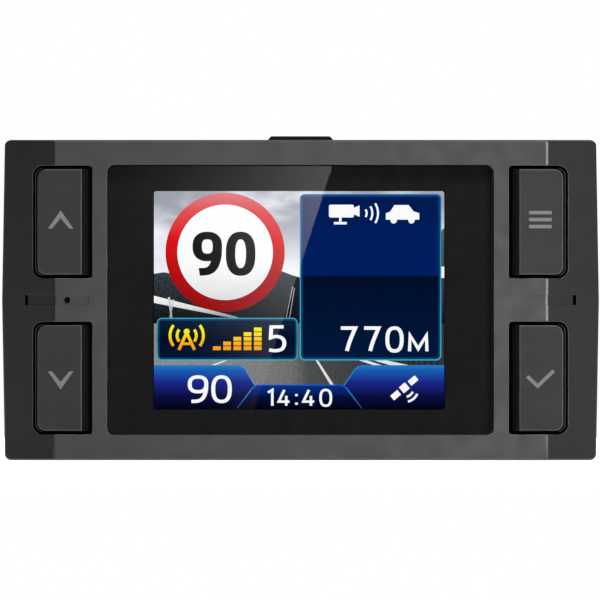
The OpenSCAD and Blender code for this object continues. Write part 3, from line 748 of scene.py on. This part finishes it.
ROAD = [(0, 0), (SCREEN_W, 0), (SCREEN_W, 12), (0, 12)]
asphalt = lit("asphalt", [(0, (140, 140, 138)), (0.45, (112, 112, 111)), (0.55, (76, 78, 78)),
                          (1, (52, 54, 54))], 8, 33, 0.13, "X")
picture("road", [ROAD], 1, asphalt)
white_paint = lit("white_paint", [(0, (214, 214, 210)), (1, (235, 235, 232))], 0, 8)
LINE_RIGHT = [(22.5, 7.2), (22.8, 7.2), (25.4, 3.2), (24.9, 3.2)]
LINE_LEFT = [(10.4, 7), (10.8, 7), (8.3, 6), (7.6, 6)]
picture("road_lines", [LINE_RIGHT, LINE_LEFT], 2, white_paint)
RAILS = [[(27.9, 7.1), (29, 7.1), (32.8, 5.9), (31.6, 5.9)], [(29.9, 7.1), (31.3, 7.1), (37, 5.9), (34, 5.9)]]
POST_X = (32.6, 33.2, 33.8, 34.4, 35, 35.7, 36.4, 37.2, 38, 38.9, 39.8)
POSTS = [[(x, 5.9), (x + 0.3, 5.9), (x + 0.1, 7.1), (x - 0.1, 7.1)] for x in POST_X]
picture("far_rails", RAILS, 3, white_paint)
picture("rail_posts", POSTS, 2, lit("rail_posts", [(0, (20, 20, 22)), (1, (40, 40, 42))], 5, 7))
GUARD = [(0, 14.9), (11.8, 12.6), (11.8, 12.9), (0, 15.9)]
rail_greys = lit("guard_rail", [(0, (120, 122, 124)), (0.5, (226, 227, 228)), (1, (250, 250, 250))],
                 12.6, 15.9)
picture("guard_rail", [GUARD], 2, rail_greys)
CLAMP = stroke([(2.1, 15.7), (2.5, 12.6)], 0.28) + stroke([(2.75, 15.4), (2.2, 12.6)], 0.16)
picture("rail_clamp", CLAMP, 3, lit("rail_clamp", [(0, (150, 152, 154)), (1, (215, 216, 218))], 12.6, 15.8))
EDGE = [[(40.35, 20), (SCREEN_W, 20), (SCREEN_W, 25.4), (40.35, 25)],
        [(40.35, 12), (SCREEN_W, 12), (SCREEN_W, 18.4), (40.35, 18.4)]]
picture("far_tower", EDGE, 2, lit("far_tower", [(0, (18, 20, 24)), (1, (90, 92, 96))], 12, 25.4, 0.3))


RIM_WIDE = 0.17                    # mm
GLOW_TO = 0.42                     # mm from the edge of the panel


def panel(name, x0, z0, x1, z1, radius, layer, rim, glow, fill):
    """A panel of the picture: bright rim, darker glow inside it, and its ground."""
    for part, inset, mat in (("rim", 0, rim), ("glow", RIM_WIDE, glow), ("ground", GLOW_TO, fill)):
        outline = round_rect(x0 + inset, z0 + inset, x1 - inset, z1 - inset, max(radius - inset, 0.15))
        picture(name + "_" + part, [outline], layer, mat)
        layer += 1


right_rim = lit("right_rim", [(0, (52, 172, 214)), (0.8, (28, 140, 190)), (1, (14, 104, 170))], 6.8, 30.2)
right_glow = lit("right_glow", [(0, (4, 70, 104)), (0.45, (4, 56, 96)), (1, (2, 64, 128))], 6.8, 30.2)
right_ground = lit("right_ground", [(0, (2, 24, 60)), (0.5, (1, 14, 40)), (0.505, (0, 11, 33)),
                                    (0.51, (0, 30, 96)), (0.78, (0, 30, 92)), (1, (0, 26, 80))],
                   6.8, 30.2, 0.03)
panel("camera_panel", 20.5, 6.8, 40.4, 30.2, 0.7, 4, right_rim, right_glow, right_ground)

left_rim = lit("left_rim", [(0, (52, 168, 200)), (0.5, (24, 116, 150)), (1, (52, 160, 190))], 6.8, 12.8)
left_glow = lit("left_glow", [(0, (6, 66, 96)), (0.5, (5, 44, 76)), (1, (12, 66, 96))], 6.8, 12.8)
left_ground = lit("left_ground", [(0, (3, 22, 56)), (0.5, (2, 14, 40)), (1, (12, 34, 60))], 6.8, 12.8, 0.03)
panel("signal_panel", 0.4, 6.8, 20.2, 12.8, 0.7, 4, left_rim, left_glow, left_ground)

tab_blue = lit("tab_blue", [(0, (2, 3, 14)), (0.3, (12, 14, 66)), (0.62, (26, 40, 136)),
                            (0.88, (26, 92, 178)), (1, (30, 128, 200))], 0, 6.15, 0.03)
LEFT_TAB = [(0, 0), (11.6, 0), (14.2, 3.3), (12.75, 5.6), (12.1, 6.08), (11.7, 6.15), (0, 6.15)]
RIGHT_TAB = [(SCREEN_W, 0), (29.3, 0), (26.7, 3.3), (28.3, 5.6), (28.75, 6.02), (29.2, 6.15),
             (SCREEN_W, 6.15)]
picture("side_tabs", [LEFT_TAB, RIGHT_TAB], 4, tab_blue)
SLOPES = (stroke([(14.15, 3.35), (12.75, 5.6), (12.1, 6.08)], 0.13)
          + stroke([(26.75, 3.35), (28.3, 5.6), (28.75, 6.02)], 0.13))
picture("tab_slopes", SLOPES, 5, lit("tab_slopes", [(0, (40, 150, 215)), (1, (34, 134, 204))], 3, 6.2))
MIDDLE_TAB = [(11.6, 0), (13.9, 3.0), (14.5, 3.34), (26.4, 3.34), (27, 3.0), (29.3, 0)]
middle_blue = lit("middle_tab", [(0, (1, 2, 12)), (0.5, (4, 14, 60)), (1, (12, 48, 140))], 0, 3.34)
picture("middle_tab", [MIDDLE_TAB], 5, middle_blue)
MIDDLE_EDGE = stroke([(11.65, 0.03), (13.9, 3.0), (14.5, 3.34), (26.4, 3.34), (27, 3.0), (29.25, 0.03)], 0.14)
edge_blue = lit("middle_edge", [(0, (24, 60, 130)), (0.7, (56, 140, 210)), (1, (16, 88, 190))], 0, 3.4)
picture("middle_edge", MIDDLE_EDGE, 6, edge_blue)

# The road sign
SIGN_X = 10
SIGN_Z = 22
RING_RADIUS = 8.38
DISC_RADIUS = 6.72
sign_red = lit("sign_red", [(0, (148, 2, 2)), (0.3, (178, 8, 12)), (0.62, (222, 8, 14)),
                            (0.84, (226, 74, 78)), (1, (226, 124, 130))], 13.6, 30.4, 0.02)
sign_white = lit("sign_white", [(0, (222, 222, 222)), (0.25, (246, 246, 246)), (0.4, (255, 255, 255)),
                                (1, (255, 255, 255))], 15.2, 28.8, 0.0)
picture("sign_ring", [arc(SIGN_X, SIGN_Z, RING_RADIUS, 0, 360, 96)[:-1]], 8, sign_red)
picture("sign_disc", [arc(SIGN_X, SIGN_Z, DISC_RADIUS, 0, 360, 96)[:-1]], 9, sign_white)
sign_black = lit("sign_black", [(0, (2, 2, 2)), (1, (5, 5, 5))], 18, 25, 0.1)
numerals("sign_number", "90", 5.42, 18.7, 14.26, 24.9, 1.32, 10, sign_black, 0.82, 0.4)

white_light = lit("white_light", [(0, (250, 250, 250)), (1, (255, 255, 255))], 0, 30, 0.01)
numerals("speed_number", "90", 4.75, 0.8, 10.94, 4.72, 0.56, 7, white_light)
numerals("clock", "14:40", 15.85, 0.28, 25.05, 2.82, 0.36, 8, white_light, 0.9, 1.5)
numerals("distance", "770", 26.0, 7.9, 35.1, 11.6, 0.54, 8, white_light, 0.9, 1.3)
numerals("distance_unit", "M", 35.7, 7.9, 38.6, 10.5, 0.46, 8, white_light)
numerals("signal_number", "5", 15.93, 7.95, 18.6, 11.75, 0.54, 8, white_light)

amber = lit("amber", [(0, (252, 150, 8)), (0.35, (253, 176, 12)), (0.65, (252, 226, 20)),
                      (1, (255, 250, 20))], 8, 11.6, 0.02)
BLOCKS = []
for column in range(5):
    for row in range(column + 1):
        x, z = 8.3 + 1.44 * column, 8.25 + 0.66 * row
        BLOCKS.append([(x, z), (x + 1.08, z), (x + 1.08, z + 0.54), (x, z + 0.54)])
picture("signal_bars", BLOCKS, 8, amber)

# A mast with waves on both sides, for the kind of signal
MAST = stroke([(3.5, 8.3), (4.6, 10.7), (5.7, 8.3)], 0.42) + stroke([(3.95, 9.15), (5.25, 9.15)], 0.36)
MAST.append(arc(4.6, 10.85, 0.42, 0, 360, 16)[:-1])
for reach in (1.35, 2.35):
    MAST += stroke(arc(4.6, 10.3, reach, -38, 38, 8), 0.4)
    MAST += stroke(arc(4.6, 10.3, reach, 142, 218, 8), 0.4)
picture("signal_kind", MAST, 8, amber)

# A road camera, its waves and a car
ROAD_CAMERA = [round_rect(24.6, 26.9, 28.1, 28.7, 0.25),
               [(28.1, 27.35), (28.9, 27), (28.9, 28.6), (28.1, 28.25)]]
ROAD_CAMERA += stroke([(26.2, 27), (26.2, 26.1)], 0.35) + stroke([(25.3, 26.1), (27.1, 26.1)], 0.35)
for reach in (1.0, 1.8, 2.6):
    ROAD_CAMERA += stroke(arc(28.9, 27.5, reach, -32, 32, 8), 0.28)
CAR = [(32.6, 26.6), (32.6, 27.5), (33.2, 27.7), (33.8, 28.65), (35.8, 28.65), (36.5, 27.75), (37.3, 27.5),
       (37.3, 26.6)]
ROAD_CAMERA += [CAR, arc(33.7, 26.5, 0.45, 0, 360, 16)[:-1], arc(36.2, 26.5, 0.45, 0, 360, 16)[:-1]]
picture("camera_sign", ROAD_CAMERA, 8, white_light)

# A satellite, for reception
DISH_X = 35.2
DISH_Z = 2.95
DISH = [moved(round_rect(-0.55, -0.55, 0.55, 0.55, 0.1), DISH_X, DISH_Z, turn=40)]
for side in (-1, 1):
    wing = round_rect(side * 1.6 - 0.65, -0.42, side * 1.6 + 0.65, 0.42, 0.08)
    DISH.append(moved(wing, DISH_X, DISH_Z, turn=40))
for reach in (1.3, 2.0):
    DISH += stroke(arc(DISH_X, DISH_Z, reach, 285, 335, 8), 0.32)
picture("reception", DISH, 8, white_light)

# Rounded corners of the lit area
CORNER = 0.35
CORNERS = []
for cx, cz, start in ((0, 0, 180), (SCREEN_W, 0, 270), (SCREEN_W, SCREEN_H, 0), (0, SCREEN_H, 90)):
    mid_x = cx + math.copysign(CORNER, SCREEN_W / 2 - cx)
    mid_z = cz + math.copysign(CORNER, SCREEN_H / 2 - cz)
    CORNERS.append([(cx, cz)] + arc(mid_x, mid_z, CORNER, start, start + 90, 5))
picture("screen_corners", CORNERS, 11, black_print)

# ---------------------------------------------------------------- small parts the frame leaves out

FELT_RADIUS = 0.46                 # mm
FELT_THICK = 0.3 * MM
FELT_IN = 0.5 * MM                 # behind the front of the microphone boot
felt_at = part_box("microphone_boot")
felt = prisms("dust_felt", [arc((felt_at[0][0] + felt_at[1][0]) / 2 / MM, 0, FELT_RADIUS, 0, 360, 24)[:-1]],
              lambda x, z: (x * MM, felt_at[0][1] + FELT_IN, MID_Z + z * MM), FELT_THICK)
finish_piece(felt, rubber)

# ---------------------------------------------------------------- floor, light and camera

CAMERA_AWAY = 2.0
CAMERA_SIDE = -0.07 * MM           # the camera stands this far to the side of the middle
SENSOR_W = 36                      # mm
VIEW_W = 84.3 * MM                 # width of the view at the face of the object
LAMPS_AWAY = 0.45                  # the small lamps in front are this far from the face
WORLD_LIGHT = 0.03                 # strength of the surroundings, which look white to the camera
FLOOR_LIGHT = 0.2                  # the same for the floor
middle = Vector((0, 0, MID_Z))


def area(name, azimuth, elevation, away, size, size_y, watts):
    """A soft light that faces the middle. Azimuth 0 is in front, at -Y, and 90 on the right, at +X."""
    turn, rise = math.radians(azimuth), math.radians(elevation)
    level_part = away * math.cos(rise)
    at = middle + Vector((math.sin(turn) * level_part, -math.cos(turn) * level_part, away * math.sin(rise)))
    data = bpy.data.lights.new(name, "AREA")
    data.shape = "RECTANGLE"
    data.size = size
    data.size_y = size_y
    data.energy = watts
    obj = bpy.data.objects.new(name, data)
    bpy.context.scene.collection.objects.link(obj)
    obj.location = at
    obj.rotation_euler = (middle - at).to_track_quat("-Z", "Y").to_euler()
    obj.visible_camera = False
    return obj


def front_lamp(name, x, z, size, size_y, watts):
    """A small lamp in front, whose mirror image lies at x, z, in mm, on the face.

    The window doesn't mirror it."""
    reach = (CAMERA_AWAY + LAMPS_AWAY) / CAMERA_AWAY
    obj = area(name, 0, 0, LAMPS_AWAY, size, size_y, watts)
    obj.location = (x * MM * reach, FACE - LAMPS_AWAY, MID_Z + z * MM * reach)
    obj.rotation_euler = (math.radians(90), 0, 0)
    obj.light_linking.receiver_collection = all_but_window


all_but_window = bpy.data.collections.new("all_but_window")
all_but_window.objects.link(window)
for member in all_but_window.collection_objects:
    member.light_linking.link_state = "EXCLUDE"

area("side", 40, 5, 0.9, 0.25, 0.5, 1.15)
area("edge", 29.3, 5, 0.9, 0.035, 0.5, 0.55)
front_lamp("right", 50, -5, 0.03, 0.03, 0.205)
front_lamp("low", -8, -13, 0.03, 0.02, 0.095)
front_lamp("lowest", 10, -32, 0.03, 0.02, 0.082)
area("top", 10, 62, 1.0, 0.8, 0.3, 4)
area("back_left", 150, 35, 1.0, 0.5, 0.5, 5)
area("back_right", 215, 30, 1.0, 0.4, 0.6, 4)


def white_to_camera(tree, light):
    """A strength of 1 for what the camera sees, and of light for everything else."""
    rays = node(tree, "LightPath")
    return scaled(tree, rays.outputs["Is Camera Ray"], (0, 1), light, 1)


world = bpy.data.worlds.new("studio")
bpy.context.scene.world = world
world.use_nodes = True
background = world.node_tree.nodes["Background"]
background.inputs["Color"].default_value = (1, 1, 1, 1)
world.node_tree.links.new(white_to_camera(world.node_tree, WORLD_LIGHT), background.inputs["Strength"])

floor_bm = bmesh.new()
bmesh.ops.create_grid(floor_bm, x_segments=8, y_segments=8, size=0.33)
floor = from_bmesh(floor_bm, "floor")
floor_mat, floor_tree, floor_shader = shader("floor_paint", (0.88, 0.88, 0.88), 0.9)
floor_tone = remap(floor_tree, noise(floor_tree, 0.08), 0.86, 0.9)
floor_tree.links.new(floor_tone, floor_shader.inputs["Base Color"])
floor_shader.inputs["Emission Color"].default_value = (1, 1, 1, 1)
floor_tree.links.new(white_to_camera(floor_tree, FLOOR_LIGHT), floor_shader.inputs["Emission Strength"])
floor.data.materials.append(floor_mat)

camera_data = bpy.data.cameras.new("camera")
camera = bpy.data.objects.new("camera", camera_data)
bpy.context.scene.collection.objects.link(camera)
bpy.context.scene.camera = camera
camera_data.sensor_width = SENSOR_W
camera_data.lens = SENSOR_W * CAMERA_AWAY / VIEW_W
camera_data.clip_end = 20
camera.location = (CAMERA_SIDE, FACE - CAMERA_AWAY, MID_Z)
camera.rotation_euler = (math.radians(90), 0, 0)
bpy.context.scene.view_settings.view_transform = "Standard"

# A pale card behind the camera, whose slanting edge the window mirrors
CARD_AWAY = CAMERA_AWAY + 0.02
CARD = [(9.1, 38), (-15.3, -38), (-110, -38), (-110, 38)]
CARD_DARK = -48 * MM               # the light of the card rises from nothing at this height, from MID_Z,
CARD_BRIGHT = 36 * MM              # to its full strength at this one
CARD_REACH = 68 * MM               # and fades out this far from the slanting edge
CARD_LIGHT = 1.95
card_bm = bmesh.new()
card_bm.faces.new([card_bm.verts.new((x * MM, FACE - CARD_AWAY, MID_Z + z * MM)) for x, z in CARD])
card = from_bmesh(card_bm, "glare_card")
card_mat, card_tree, card_shader = shader("card_light", (0, 0, 0), 1.0, Emission_Color=(1, 1, 1, 1))
card_place = split_place(card_tree)


def card_math(operation, first, second, clamp=False):
    """A sum in the shader of the card; first and second are numbers or outputs."""
    made = node(card_tree, "Math", operation=operation, use_clamp=clamp)
    for socket, source in zip(made.inputs, (first, second)):
        if isinstance(source, (int, float)):
            socket.default_value = source
        else:
            card_tree.links.new(source, socket)
    return made.outputs[0]


(top_x, top_z), (low_x, low_z) = CARD[:2]
rise = scaled(card_tree, card_place["Z"], (MID_Z + CARD_DARK, MID_Z + CARD_BRIGHT))
line = scaled(card_tree, card_place["Z"], (MID_Z + low_z * MM, MID_Z + top_z * MM), low_x * MM, top_x * MM,
              clamp=False)
from_line = card_math("SUBTRACT", line, card_place["X"])
reach = card_math("MULTIPLY", rise, CARD_REACH)
near_line = card_math("SUBTRACT", 1.0, card_math("DIVIDE", from_line, reach), True)
glow = card_math("MULTIPLY", card_math("POWER", near_line, 2.0), card_math("POWER", rise, 2.0))
card_tree.links.new(card_math("MULTIPLY", glow, CARD_LIGHT), card_shader.inputs["Emission Strength"])
card.data.materials.append(card_mat)
card.visible_camera = False

# A black card behind it, so that nothing else shows in the window
FLAG_HALF = (120, 90)
FLAG_BEHIND = 0.02
flag_bm = bmesh.new()
FLAG = [(sx * FLAG_HALF[0], sz * FLAG_HALF[1]) for sx, sz in ((1, 1), (1, -1), (-1, -1), (-1, 1))]
flag_y = FACE - CARD_AWAY - FLAG_BEHIND
flag_bm.faces.new([flag_bm.verts.new((x * MM, flag_y, MID_Z + z * MM)) for x, z in FLAG])
flag = from_bmesh(flag_bm, "black_card")
flag.data.materials.append(ink("black_card", (0.001, 0.001, 0.001), 1.0))
flag.visible_camera = False
